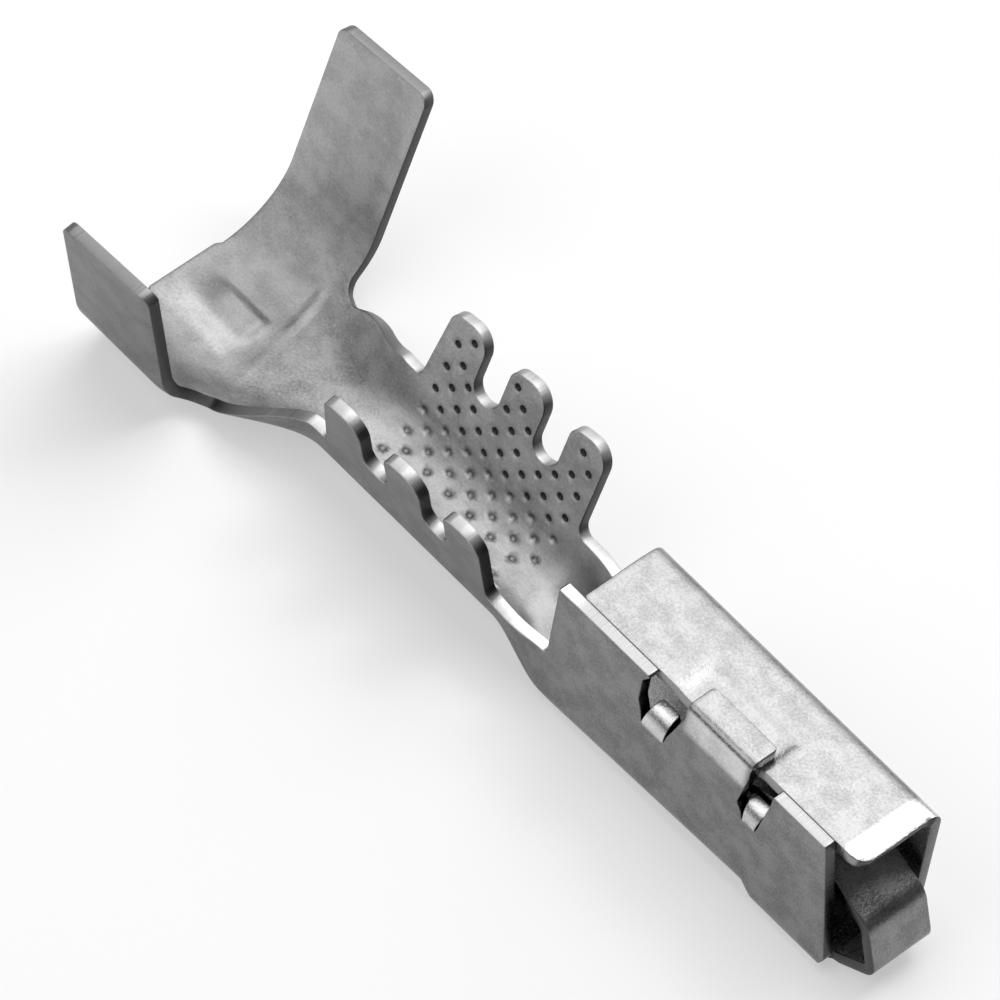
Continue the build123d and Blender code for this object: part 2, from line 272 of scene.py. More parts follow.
@dataclass(frozen=True)
class Windows:
    """The near wall's two windows, walked from front to rear: X, height and rounding of their corners."""

    front_top_x: float = 5.83
    front_top_fillet: float = 0.03
    front_side: tuple[RoundCorner, ...] = ((5.81, 3.50, 0.08), (5.63, 2.50, 0.03))
    front_rear_side: tuple[RoundCorner, ...] = ((5.13, 2.47, 0.02), (4.99, 2.66, 0.08))
    front_under_tab_z: float = 3.62
    rear_under_tab_z: float = 3.55
    rear_front_foot: RoundCorner = (2.95, 2.52, 0.03)
    rear_side: tuple[RoundCorner, ...] = ((2.20, 2.52, 0.03), (2.08, 2.85, 0.08), (2.08, 3.50, 0.08))
    rear_top_x: float = 2.28
    mouth_fillet: float = 0.05


@dataclass(frozen=True)
class Pressings:
    """The shallow shapes that the die presses into the sheet, towards its inner side."""

    recess_x: Band = Band((2.62, 3.02), (5.10, 5.30))
    recess_y: Pair = (0.08, -0.04)
    recess_depth: float = 0.05
    boss_x: Band = Band((-12.25, -11.40), (-10.60, -10.35))
    boss_y: Band = Band((-0.40, -0.05), (0.37, 0.49))
    boss_height: float = 0.09
    crease_x: Band = Band((-10.24, -10.13), (-10.10, -9.98))
    crease_y: Band = Band((-1.6, -1.0), (1.7, 2.1))
    crease_slant: float = 0.19
    crease_middle: float = 0.73
    crease_full_y: Pair = (0.4, 0.8)
    crease_faint: float = 0.25
    crease_height: float = 0.035

    def recess(self, x: Array, y: Array) -> Array:
        """Depth of the top panel's recess under the seam tab."""
        return self.recess_depth * self.recess_x.share(x) * smoothstep(*self.recess_y, y)

    def floor(self, x: Array, y: Array) -> Array:
        """Height of the boss and the slanting crease in the insulation grip's floor."""
        boss = self.boss_height * self.boss_x.share(x) * self.boss_y.share(y)
        slanted = x + self.crease_slant * (y - self.crease_middle)
        crease = self.crease_x.share(slanted) * self.crease_y.share(y)
        strength = self.crease_faint + (1 - self.crease_faint) * smoothstep(*self.crease_full_y, y)
        return boss + self.crease_height * crease * strength


@dataclass
class Blank:
    """The flat strip before it is folded: how its places map to the folded terminal.

    A place is (x, g): x runs along the terminal and g is the distance round the section from the floor's
    middle, positive towards the far wall.
    """

    sheet: float = 0.28
    along: Lengthways = field(default_factory=Lengthways)
    fingers: Fingers = field(default_factory=Fingers)
    insulation: Section = Section(0.98, 2.14, 12.6, 0.0)
    core: Section = Section(0.12, 1.18, 14.3, 0.40)
    box: Section = Section(0.866, 0.37, 0.0, 0.0)
    half_width: float = 1.236
    height: float = 3.80
    ramp_rise: float = 0.26
    crease_y: float = 0.50
    crease_fall: float = 4.0
    seam_gap: float = 0.005
    near_tail_z: float = 4.70
    near_wing_z: float = 4.98
    far_tail_z: float = 5.42
    far_wing_z: float = 5.63
    wing_corner: float = 0.25
    stub_x: float = -12.70
    stub_half: float = 0.92
    neck_low_z: float = 0.46
    neck_slope_z: float = 1.36
    neck_top_z: float = 1.83
    neck_fillet: float = 0.40
    neck_root_fillet: float = 0.22
    neck_foot_fillet: float = 0.15
    trough_rear_z: float = 1.68
    trough_front_z: float = 1.55
    trough_fillet: float = 0.30
    small_fillet: float = 0.12
    far_low_z: float = 0.90
    near_low_z: float = 0.50
    lip_length: float = 0.52
    lip_fall: float = 14.0
    lip_bend: float = 0.35
    lip_corner: float = 0.40
    lip_far_y: float = 0.92
    lip_fade_y: Pair = (1.0, 0.86)
    tab: Ear = Ear(3.30, 5.16, 3.30, 5.16, 4.06, edge_y=-0.50, bend=0.20)
    rear_ear: Ear = Ear(2.26, 2.90, 2.34, 2.88, 2.83, edge_y=-0.80, bend=0.56)
    front_ear: Ear = Ear(5.20, 5.57, 5.07, 5.64, 2.81, edge_y=-0.84, bend=0.54)
    tongue_half: float = 0.78
    tongue_corners: tuple[RoundCorner, ...] = (
        (7.90, 0.0, 0.60), (8.94, 0.64, 0.38), (8.50, 1.86, 0.50), (5.60, 3.10, 1.40), (3.10, 1.95, 0.0))
    tongue_step: float = 0.01
    windows: Windows = field(default_factory=Windows)
    pressings: Pressings = field(default_factory=Pressings)
    zone_slack: float = 0.01

    def shape(self, x: Array) -> tuple[Array, Array, Array, Array]:
        """Floor half width, bend radius, lean in radians and floor height at each x.

        The neck and the trough blend their two neighbours with a smoothstep.
        """
        a = self.along
        neck = smoothstep(a.neck_start, a.core_start, x)
        trough = smoothstep(a.core_end, a.near_wall_rear, x)
        ins, core, box = (np.array(s.values())[:, None] for s in (self.insulation, self.core, self.box))
        floor_half, bend, lean, floor_z = ins + (core - ins) * neck + (box - core) * trough
        stations = [0.0, a.ramp_end, a.shoulder_rear, a.shoulder_front]
        rise = np.interp(x, stations, [0, self.ramp_rise, self.ramp_rise, 0])
        return floor_half, bend, lean, floor_z + rise

    @property
    def crease_turn(self) -> float:
        """How far the far wall turns to become the sloping edge of the top panel, in radians."""
        return math.radians(90.0 - self.crease_fall)

    @property
    def far_bend_z(self) -> float:
        """Height at which the far wall starts to bend over into the top panel."""
        fall = (self.half_width - self.crease_y) * math.tan(math.radians(self.crease_fall))
        return self.height - fall - self.box.bend * math.tan(self.crease_turn / 2)

    def stretch(self, x: Array, floor_z: Array, bend: Array) -> Array:
        """How much shorter the box walls are where the floor is raised under them."""
        full = self.far_bend_z - self.box.bend
        return np.where(x < 0.0, 1.0, (self.far_bend_z - floor_z - bend) / full)

    def girth(self, x: Array, z: Array) -> Array:
        """Distance round the section from the floor's middle to height z on a wall's outside.

        On the bend, height is the radius times one minus the cosine of the angle turned.
        """
        x, z = np.broadcast_arrays(np.asarray(x, float), np.asarray(z, float))
        floor_half, bend, lean, floor_z = self.shape(x.ravel())
        z = z.ravel()
        turn = math.pi / 2 - lean
        top = floor_z + bend * (1 - np.cos(turn))
        angle = np.arccos(np.clip(1 - (z - floor_z) / bend, -1.0, 1.0))
        on_bend = floor_half + bend * angle
        slope = np.cos(lean) * self.stretch(x.ravel(), floor_z, bend)
        on_wall = floor_half + bend * turn + (z - top) / slope
        return np.where(z < top, on_bend, on_wall).reshape(x.shape)

    @property
    def far_bend_g(self) -> float:
        """Distance round the box section to the start of the top bend."""
        return float(self.girth(np.array([0.0]), np.array([self.far_bend_z]))[0])

    @property
    def crease_g(self) -> float:
        """Distance round the box section to the crease in the top panel."""
        turn = self.crease_turn
        y = self.half_width - self.box.bend * (1 - math.cos(turn))
        return self.far_bend_g + self.box.bend * turn + (y - self.crease_y) / math.sin(turn)

    @property
    def panel_edge_g(self) -> float:
        """Distance round the box section to the top panel's near edge."""
        return self.crease_g + self.crease_y + self.half_width - self.sheet - self.seam_gap

    def above_foot(self, ear: Ear, x: Array, s: Array) -> Array:
        """Length of strip between the foot of an ear's bend and each place."""
        floor_half, bend, lean, floor_z = self.shape(x)
        foot = self.girth(x, np.full(x.shape, ear.top_z - ear.bend))
        return (s - foot) * self.stretch(x, floor_z, bend)

    @property
    def folded_strips(self) -> tuple[tuple[Zone, Ear], ...]:
        """The strips that are folded inwards from the near wall, each with its zone."""
        return (Zone.TAB, self.tab), (Zone.REAR_EAR, self.rear_ear), (Zone.FRONT_EAR, self.front_ear)

    def zones(self, x: Array, g: Array) -> Array:
        """The zone of each place on the blank."""
        zone = np.full(x.shape, Zone.PLAIN.value)
        for kind, ear in self.folded_strips:
            up = self.above_foot(ear, x, -g)
            length = ear.length(self.half_width)
            rear, front = ear.edges(up, length)
            within = (x > rear - self.zone_slack) & (x < front + self.zone_slack)
            zone[within & (up > 0) & (up < length + self.zone_slack)] = kind.value
        zone[(x > self.along.tongue_start) & (np.abs(g) < self.tongue_half)] = Zone.TONGUE.value
        return zone

    def place(self, x: Array, g: Array, zone: Array) -> tuple[Array, Array]:
        """Folded position of each place on the outer side, and the direction through the sheet.

        Across the floor the section is flat, on a bend it is a circle, and on a wall it is straight.

        Args:
            x: places along the blank.
            g: signed distances round the section.
            zone: the zone of each place.

        Returns:
            Points and unit vectors towards the inner side, each as rows of X, Y and Z.
        """
        side = np.where(g < 0, -1.0, 1.0)
        s = np.abs(g)
        floor_half, bend, lean, floor_z = self.shape(x)
        turn = math.pi / 2 - lean
        angle = np.clip((s - floor_half) / bend, 0.0, turn)
        along_wall = np.maximum(s - floor_half - bend * turn, 0.0)
        y = np.minimum(s, floor_half) + bend * np.sin(angle) + along_wall * np.sin(lean)
        slope = np.cos(lean) * self.stretch(x, floor_z, bend)
        z = floor_z + bend * (1 - np.cos(angle)) + along_wall * slope
        points = columns(x, y, z)
        normals = columns(np.zeros_like(x), -np.sin(angle), np.cos(angle))
        over = (g > self.far_bend_g) & (x > self.along.near_wall_rear)
        points[over], normals[over] = self.folded_panel(x[over], s[over])
        for kind, ear in self.folded_strips:
            chosen = zone == kind.value
            points[chosen], normals[chosen] = self.folded_ear(ear, x[chosen], s[chosen])
        chosen = zone == Zone.TONGUE.value
        points[chosen], normals[chosen] = self.folded_tongue(x[chosen], s[chosen])
        points[:, 1] *= side
        normals[:, 1] *= side
        normals = unit(normals)
        plain = zone == Zone.PLAIN.value
        pressed = self.pressings.recess(x, points[:, 1]) * (over & plain)
        pressed += self.pressings.floor(x, points[:, 1]) * (plain & (x < self.along.core_start))
        return points + normals * pressed[:, None], normals

    def folded_panel(self, x: Array, s: Array) -> tuple[Array, Array]:
        """The far wall bent over into the top panel: an arc, the slope up to the crease, then the flat.

        Args:
            x: places along the blank.
            s: distances round the section.

        Returns:
            Points and directions as in place, before the near side is mirrored.
        """
        turn, bend, lip_start = self.crease_turn, self.box.bend, self.along.lip_start
        u = s - self.far_bend_g
        angle = np.clip(u / bend, 0.0, turn)
        slope = np.clip(u - bend * turn, 0.0, self.crease_g - self.far_bend_g - bend * turn)
        flat = np.maximum(s - self.crease_g, 0.0)
        y = self.half_width - bend * (1 - np.cos(angle)) - slope * math.sin(turn) - flat
        z = self.far_bend_z + bend * np.sin(angle) + slope * math.cos(turn)
        angle = np.where(flat > 0, math.pi / 2, angle)
        share = smoothstep(*self.lip_fade_y, y)
        reach = np.maximum(x - lip_start, 0.0)
        fall = math.radians(self.lip_fall)
        lip = np.minimum(reach / self.lip_bend, fall)
        rest = reach - lip * self.lip_bend
        x_bent = lip_start + self.lip_bend * np.sin(lip) + rest * math.cos(fall)
        z_drop = self.lip_bend * (1 - np.cos(lip)) + rest * math.sin(fall)
        x = np.where(reach > 0, x + (x_bent - x) * share, x)
        points = columns(x, y, z - z_drop * share)
        return points, columns(-np.sin(lip) * share, -np.cos(angle), -np.sin(angle))

    def folded_ear(self, ear: Ear, x: Array, s: Array) -> tuple[Array, Array]:
        """A strip of the near wall bent inwards, as a quarter circle and then flat, like folded_panel."""
        u = self.above_foot(ear, x, s)
        angle = np.clip(u / ear.bend, 0.0, math.pi / 2)
        flat = np.maximum(u - ear.bend * math.pi / 2, 0.0)
        y = self.half_width - ear.bend * (1 - np.cos(angle)) - flat
        z = ear.top_z - ear.bend + ear.bend * np.sin(angle)
        normals = columns(np.zeros_like(x), -np.cos(angle), -np.sin(angle))
        return columns(x, y, z), normals

    def tongue_line(self) -> Array:
        """The tongue's outer side from the floor to its tip, as closely spaced X and Z."""
        return rounded_line([(self.along.tongue_start, 0.0, 0.0), *self.tongue_corners], self.tongue_step)

    def folded_tongue(self, x: Array, s: Array) -> tuple[Array, Array]:
        """The tongue's strip carried along its side outline, like folded_panel."""
        line = self.tongue_line()
        reach = self.along.tongue_start + lengths_to(line)
        heading = np.gradient(line, reach, axis=0)
        along, up = (np.interp(x, reach, line[:, axis]) for axis in range(2))
        run, rise = (np.interp(x, reach, heading[:, axis]) for axis in range(2))
        return columns(along, s, up), columns(-rise, np.zeros_like(x), run)

    @property
    def tongue_reach(self) -> float:
        """Where the tongue's tip lies on the blank."""
        return self.along.tongue_start + float(lengths(self.tongue_line()).sum())


@dataclass
class BlankOutline:
    """The stamped outline of the blank, walked once round as places (x, g)."""

    blank: Blank
    step: float = 0.075
    shortest: float = 0.015
    foot_z: float = 0.01
    tail_z: float = 0.02
    edge_fillet: float = 0.05
    low_fillet: float = 0.2
    near_foot_fillet: float = 0.25
    panel_fillet: float = 0.06
    lip_far_fillet: float = 0.08
    lip_relief: float = 0.15
    tongue_fillet: float = 0.1
    tongue_root_fillet: float = 0.04
    stub_fillet: float = 0.08
    stub_flare: float = 0.15
    ear_fillet: float = 0.08
    tab_fillet: float = 0.1

    def side(self, corners: Sequence[RoundCorner], sign: int) -> Array:
        """A stretch given as X and height on a wall, turned into places on the blank.

        Args:
            corners: X, height and rounding of each corner.
            sign: 1 for the far wall and -1 for the near one.

        Returns:
            Places on the blank.
        """
        line = rounded_line(corners, self.step / 2)
        places = columns(line[:, 0], sign * self.blank.girth(line[:, 0], line[:, 1]))
        return refined(places, self.step)

    def grip_edge(self, tops: Pair, wall_x: float, wall_top: float) -> list[RoundCorner]:
        """One side's edge over the wing, the neck, the fingers and the trough, to the top of the box wall.

        Args:
            tops: heights of the wing's rear and front corners.
            wall_x: X of the box wall's rear edge.
            wall_top: height at which that edge ends.

        Returns:
            X, height and rounding of each corner.
        """
        b, a, f = self.blank, self.blank.along, self.blank.fingers
        edge = [(a.tail_foot, self.tail_z, 0.0), (a.tail_top, tops[0], b.wing_corner),
                (a.wing_front, tops[1], b.wing_corner), (a.neck_root, b.neck_low_z, b.neck_root_fillet),
                (a.neck_low_end, b.neck_low_z, b.neck_fillet),
                (a.neck_slope, b.neck_slope_z, b.neck_fillet),
                (a.neck_top, b.neck_top_z, b.neck_fillet), (a.neck_foot, b.neck_top_z, b.neck_foot_fillet)]
        for finger in range(f.count):
            rear = a.finger_start + finger * f.pitch
            front = rear + f.width
            if finger:
                edge.append((rear, f.notch_z, f.notch_round))
            edge += [(rear, f.rear_z, f.rear_round), (front, f.front_z, f.front_round)]
            edge.append((front, f.notch_z, f.notch_round))
        edge[-1] = (front, b.trough_rear_z, b.trough_fillet)
        return [*edge, (wall_x, b.trough_front_z, b.small_fillet), (wall_x, wall_top, 0.0)]

    def ear_slot(self, ear: Ear) -> list[RoundCorner]:
        """Corners of an ear on the near wall, walked from front to rear, from and to its bend."""
        foot = ear.top_z - ear.bend
        neck, tip = foot + ear.neck, foot + ear.length(self.blank.half_width)
        return [(ear.front_x, foot, 0.0), (ear.front_x, neck, self.edge_fillet),
                (ear.tip_front_x, tip, self.ear_fillet), (ear.tip_rear_x, tip, self.ear_fillet),
                (ear.rear_x, neck, self.edge_fillet), (ear.rear_x, foot, 0.0)]

    def walk(self) -> Array:
        """The whole outline, closed, as places on the blank."""
        b, a = self.blank, self.blank.along
        far_grips = self.side(self.grip_edge((b.far_tail_z, b.far_wing_z), 0.0, b.far_bend_z), 1)
        near_tops = b.near_tail_z, b.near_wing_z
        near_grips = self.side(self.grip_edge(near_tops, a.near_wall_rear, b.height), -1)
        front = [self.panel_edge(), self.far_front(), self.tongue_edge(), self.side(self.near_wall(), -1)]
        loop = np.concatenate([far_grips, *front, near_grips[::-1], self.stub_edge(), far_grips[:1]])
        loop = refined(loop, self.step)[:-1]
        gaps = np.linalg.norm(loop - np.roll(loop, 1, axis=0), axis=1)
        return loop[gaps > self.shortest]

    def panel_edge(self) -> Array:
        """The top panel's rear, near and front edges, with the lip."""
        b, a = self.blank, self.blank.along
        lip_x = a.lip_start + b.lip_length
        lip_far_g = b.crease_g - (b.lip_far_y - b.crease_y)
        return rounded_line([
            (0.0, b.far_bend_g, 0.0), (0.0, b.panel_edge_g, self.panel_fillet),
            (lip_x, b.panel_edge_g, b.lip_corner), (lip_x, lip_far_g, self.lip_far_fillet),
            (a.far_front, lip_far_g - self.lip_relief, self.edge_fillet), (a.far_front, b.far_bend_g, 0.0),
        ], self.step)

    def far_front(self) -> Array:
        """The far wall's front edge, from the top bend down to the floor."""
        b, a = self.blank, self.blank.along
        return self.side([
            (a.far_front, b.far_bend_z, 0.0), (a.far_front, b.far_low_z, self.low_fillet),
            (a.floor_front, b.sheet, self.edge_fillet), (a.floor_front, self.foot_z, 0.0),
        ], 1)

    def tongue_edge(self) -> Array:
        """The floor's front edge and the spring tongue that grows from it."""
        b, a = self.blank, self.blank.along
        tip_x, half = b.tongue_reach, b.tongue_half
        return rounded_line([
            (a.floor_front, b.box.floor_half, 0.0), (a.floor_front, half, self.tongue_root_fillet),
            (tip_x, half, self.tongue_fillet), (tip_x, -half, self.tongue_fillet),
            (a.floor_front, -half, self.tongue_root_fillet), (a.floor_corner, -b.box.floor_half, 0.0),
        ], self.step)

    def stub_edge(self) -> Array:
        """The stub of the web, which flares a little at its far foot."""
        b, a = self.blank, self.blank.along
        return rounded_line([
            (a.tail_foot, -b.stub_half, 0.0), (b.stub_x, -b.stub_half, self.stub_fillet),
            (b.stub_x, b.stub_half, self.stub_fillet), (a.tail_foot, b.stub_half + self.stub_flare, 0.0),
        ], self.step)

    def near_wall(self) -> list[RoundCorner]:
        """Corners of the near wall from the floor's front up and back to its rear top corner."""
        b, a, w, tab = self.blank, self.blank.along, self.blank.windows, self.blank.tab
        tab_tip = tab.top_z - tab.bend + tab.length(b.half_width)
        return [
            (a.floor_corner, self.foot_z, 0.0), (a.near_front, b.near_low_z, self.near_foot_fillet),
            (a.near_top_front, b.height, self.panel_fillet), (w.front_top_x, b.height, w.front_top_fillet),
            *w.front_side, *self.ear_slot(b.front_ear), *w.front_rear_side,
            (tab.front_x, w.front_under_tab_z, w.mouth_fillet), (tab.front_x, tab_tip, self.tab_fillet),
            (tab.rear_x, tab_tip, self.tab_fillet), (tab.rear_x, w.rear_under_tab_z, w.mouth_fillet),
            w.rear_front_foot, *self.ear_slot(b.rear_ear), *w.rear_side,
            (w.rear_top_x, b.height, w.mouth_fillet), (a.near_wall_rear, b.height, 0.0),
        ]


@dataclass
class Serration:
    """The lattice of small pits inside the wire grip, in rows that slant across it."""

    origin: Pair = (-6.346, 1.953)
    along_row: Pair = (0.3516, 0.3335)
    next_row: Pair = (0.3051, -0.3484)
    rear_x: float = -6.75
    front_x: float = -2.35
    rim: float = 0.11
    depth: float = 0.06
    margin: float = 0.13
    foot_share: float = 0.72
    foot_depth_share: float = 0.8
    clear_share: float = 1.5
    middle_gap: float = 0.1
    spokes: int = 8
    reach: int = 40

    def centres(self, blank: Blank) -> Array:
        """Places of the pits on both walls and the floor."""
        steps = np.arange(-self.reach, self.reach + 1)
        i, j = (v.ravel() for v in np.meshgrid(steps, steps))
        x, up = (o + i * a + j * r for o, a, r in zip(self.origin, self.along_row, self.next_row))
        turn = math.pi / 2 - math.radians(blank.core.lean)
        drawn = blank.core.bend / (blank.core.bend - blank.sheet / 2)
        g = blank.core.floor_half + blank.core.bend * turn + np.where(up < 0, up * drawn, up)
        chosen = (x > self.rear_x) & (x < self.front_x) & (g > 0)
        far = columns(x[chosen], g[chosen])
        near = far * np.array([1.0, -1.0])
        return np.concatenate([far, near[near[:, 1] < -self.middle_gap]])


def inside(outline: Array, places: Array) -> Array:
    """Whether each place lies inside a closed outline, by counting the edges that a ray crosses.

    Args:
        outline: the outline's points in order.
        places: the places to test.

    Returns:
        True for each place inside.
    """
    ahead = np.roll(outline, -1, axis=0)
    crossings = np.zeros(len(places), int)
    for start in range(0, len(places), CHUNK):
        part = places[start:start + CHUNK]
        x, g = part[:, :1], part[:, 1:]
        spans = (outline[:, 1] > g) != (ahead[:, 1] > g)
        rise = ahead[:, 1] - outline[:, 1]
        rise = np.where(np.abs(rise) < FLAT_RISE, FLAT_RISE, rise)
        at = outline[:, 0] + (g - outline[:, 1]) * (ahead[:, 0] - outline[:, 0]) / rise
        crossings[start:start + CHUNK] = (spans & (x < at)).sum(axis=1)
    return crossings % 2 == 1


@dataclass(frozen=True)
class PaintedLight:
    """Painted light and shade on the plate, as shares from 0 for the shaded colours to 1 for the lit
    colours.
    """

    # Painted light on the outer side: the tab's fold, the top panel, the lip and the ears.
    tab_rise_z: Pair = (3.22, 3.30)
    tab_crest_z: float = 3.95
    tab_crest_blur: float = 0.05
    tab_end_blur: float = 0.15
    top_tone: float = 0.17
    top_rise: Pair = (-0.1, 0.3)
    lip_rise: Pair = (-0.03, 0.05)
    # Painted light on the inner side, with a painted highlight band in the insulation grip.
    core_x: Pair = (-10.6, -9.4)
    core_floor: float = 0.52
    core_wall_g: Pair = (1.2, 2.4)
    rear_floor: float = 0.24
    rear_wall: float = 0.36
    rear_wall_g: Pair = (1.8, 3.2)
    band_tone: float = 0.36
    band_x: Band = Band((-12.7, -12.2), (-10.7, -10.2))
    band_g: Band = Band((-1.0, -0.75), (-0.40, -0.10))
    # Painted shade in the pits.
    floor_pits: float = 0.30
    wall_pits_g: Pair = (1.2, 2.3)
    cut_share: Band = Band((0.0, 0.06), (0.94, 1.0))
    # Painted highlight on sheared edges that face up, on the tab and the panel edge, most on the wire grip.
    upward: Pair = (0.45, 0.90)
    panel_margin: float = 0.1
    grip_x: Band = Band((-7.9, -7.4), (-0.3, 0.3))
    plain_rim: float = 0.45

    def outer(self, blank: Blank, x: Array, g: Array) -> Array:
        """Painted light outside: highlights on the ears, the lip and the band under the seam tab, a little
        on top.
        """
        heights = (*self.tab_rise_z, self.tab_crest_z)
        low, high, crest = (blank.girth(x, np.full(x.shape, z)) for z in heights)
        tab, blur = blank.tab, self.tab_end_blur
        beside = Band((tab.rear_x, tab.rear_x + blur), (tab.front_x - blur, tab.front_x)).share(x)
        above = smoothstep(crest, crest + self.tab_crest_blur, -g)
        wall = beside * smoothstep(low, high, -g) * (1 - (1 - self.top_tone) * above)
        rise = [blank.far_bend_g + way for way in self.top_rise]
        top = smoothstep(*rise, g) * (x > blank.along.near_wall_rear)
        lip = smoothstep(*(blank.along.lip_start + way for way in self.lip_rise), x)
        zone = blank.zones(x, g)
        ears = (zone == Zone.REAR_EAR.value) | (zone == Zone.FRONT_EAR.value)
        return np.where(ears, 1.0, wall + top * (self.top_tone + (1 - self.top_tone) * lip))

    def inner(self, x: Array, g: Array) -> Array:
        """Painted light inside: lighter on the walls, darker on the floor and round the insulation, with a
        painted highlight band.
        """
        wall = smoothstep(*self.core_wall_g, np.abs(g))
        core = smoothstep(*self.core_x, x) * (self.core_floor + (1 - self.core_floor) * wall)
        band = self.band_tone * self.band_x.share(x) * self.band_g.share(g)
        rear = self.rear_floor + self.rear_wall * smoothstep(*self.rear_wall_g, np.abs(g)) + band
        return np.maximum(core, rear)

    def pits(self, g: Array) -> Array:
        """How much painted shade darkens the pits: fainter on the floor than on the walls."""
        return self.floor_pits + (1 - self.floor_pits) * smoothstep(*self.wall_pits_g, np.abs(g))

    def rim(self, blank: Blank, x: Array, g: Array, upward: Array) -> Array:
        """The sheared edge's painted highlight: where it faces up, on the tab and the panel, most on the
        wire grip.
        """
        facing_up = smoothstep(*self.upward, upward)
        panel = (g > blank.panel_edge_g - self.panel_margin) & (x > 0.0)
        highlit_edges = (blank.zones(x, g) == Zone.TAB.value) | panel
        tone = self.plain_rim + (1 - self.plain_rim) * self.grip_x.share(x)
        return np.maximum(facing_up, highlit_edges) * tone


@dataclass
class FoldedSheet:
    """The terminal's one sheet, meshed on the flat blank and then folded."""

    blank: Blank = field(default_factory=Blank)
    serration: Serration = field(default_factory=Serration)
    painted_light: PaintedLight = field(default_factory=PaintedLight)
    grid: float = 0.10
    grid_margin: float = 0.55
    edge_round: float = 0.025
    edge_steps: int = 3
    sharpest: float = 0.7
    probe: float = 0.004

    def outward(self, loop: Array) -> Array:
        """Vectors from the inset outline to the true one that keep both at one distance all round."""
        run = unit(np.roll(loop, -1, axis=0) - loop)
        area = np.sum(loop[:, 0] * np.roll(loop[:, 1], -1) - loop[:, 1] * np.roll(loop[:, 0], -1))
        normal = columns(run[:, 1], -run[:, 0]) * np.sign(area)
        before = np.roll(normal, 1, axis=0)
        share = 1 + np.sum(normal * before, axis=1, keepdims=True)
        return (normal + before) / np.maximum(share, self.sharpest)

    def flat_mesh(self) -> tuple[Array, Array, Array, Array, Array]:
        """The blank's mesh.

        Returns:
            Places, triangles, the outline's place numbers, its outward vectors and each place's pit depth.
        """
        loop = BlankOutline(self.blank).walk()
        out = self.outward(loop)
        edge = loop - out * self.edge_round
        low, high = loop.min(axis=0), loop.max(axis=0)
        xs = np.arange(low[0], high[0], self.grid)
        gs = np.arange(low[1], high[1], self.grid)
        grid = np.stack([v.ravel() for v in np.meshgrid(xs, gs)], axis=1)
        grid = grid[inside(loop - out * (self.edge_round + self.grid * self.grid_margin), grid)]
        pits = self.serration
        centres = pits.centres(self.blank)
        centres = centres[inside(loop - out * pits.margin, centres)]
        grid = grid[self.nearest(grid, centres) > pits.rim * pits.clear_share]
        angle = np.arange(pits.spokes) * 2 * math.pi / pits.spokes
        ring = columns(np.cos(angle), np.sin(angle))
        rim = (centres[:, None] + ring[None] * pits.rim).reshape(-1, 2)
        foot = (centres[:, None] + ring[None] * pits.rim * pits.foot_share).reshape(-1, 2)
        places = np.concatenate([edge, grid, centres, rim, foot])
        depth = np.zeros(len(places))
        first = len(edge) + len(grid)
        depth[first:first + len(centres)] = pits.depth
        depth[first + len(centres) + len(rim):] = pits.depth * pits.foot_depth_share
        boundary = list(range(len(edge)))
        found = delaunay_2d_cdt(places.tolist(), [], [boundary], INSIDE_FACES, MERGE_REACH)
        origins = found[3]
        source = np.array([item[0] if item else -1 for item in origins])
        verts = np.array([tuple(v) for v in found[0]])
        tris = np.array(found[2])
        order = np.full(len(places), -1)
        for number, merged in enumerate(origins):
            order[merged] = number
        return verts, tris, order[:len(edge)], out, np.where(source >= 0, depth[source], 0.0)

    @staticmethod
    def nearest(places: Array, centres: Array) -> Array:
        """Distance from each place to the nearest centre."""
        best = np.full(len(places), np.inf)
        for start in range(0, len(places), CHUNK):
            gap = places[start:start + CHUNK, None] - centres[None]
            best[start:start + CHUNK] = np.sqrt((gap ** 2).sum(axis=2)).min(axis=1)
        return best

    def edge_profile(self) -> Array:
        """The rounded edge, as rows of the share outwards and the distance through the sheet.

        Over a quarter turn, the first is its sine and the second the radius times one minus its cosine.
        """
        turn = np.linspace(0.0, math.pi / 2, self.edge_steps + 1)[1:]
        rise = self.edge_round * (1 - np.cos(turn))
        outer = columns(np.sin(turn), rise)
        inner = columns(np.sin(turn), self.blank.sheet - rise)
        return np.concatenate([outer, inner[::-1]])

    def reach_outward(self, x: Array, g: Array, zone: Array, out: Array) -> Array:
        """How far and which way the folded edge stands out from each place of the inset outline.

        The folded sheet's run along the blank, and across it, is the difference of two nearby places over
        the distance between them.

        Args:
            x: places along the blank.
            g: signed distances round the section.
            zone: the zone of each place.
            out: outward vectors on the blank.

        Returns:
            Vectors as rows of X, Y and Z.
        """
        blank, shift = self.blank, self.probe
        along = blank.place(x + shift, g, zone)[0] - blank.place(x - shift, g, zone)[0]
        across = blank.place(x, g + shift, zone)[0] - blank.place(x, g - shift, zone)[0]
        return (along * out[:, :1] + across * out[:, 1:]) / (2 * shift) * self.edge_round

    @staticmethod
    def strips(edge: Array, count: int, levels: int) -> Array:
        """Faces round the sheared edge, from the outer side's outline to the inner side's.

        Args:
            edge: place numbers of the outline.
            count: how many places each side has.
            levels: how many rings of points lie between the two outlines.

        Returns:
            Four corner numbers for each face.
        """
        size = len(edge)
        between = [2 * count + level * size + np.arange(size) for level in range(levels)]
        rings = [edge, *between, count + edge]
        quads = [columns(a, np.roll(a, -1), np.roll(b, -1), b) for a, b in zip(rings, rings[1:])]
        return np.concatenate(quads)[:, ::-1]

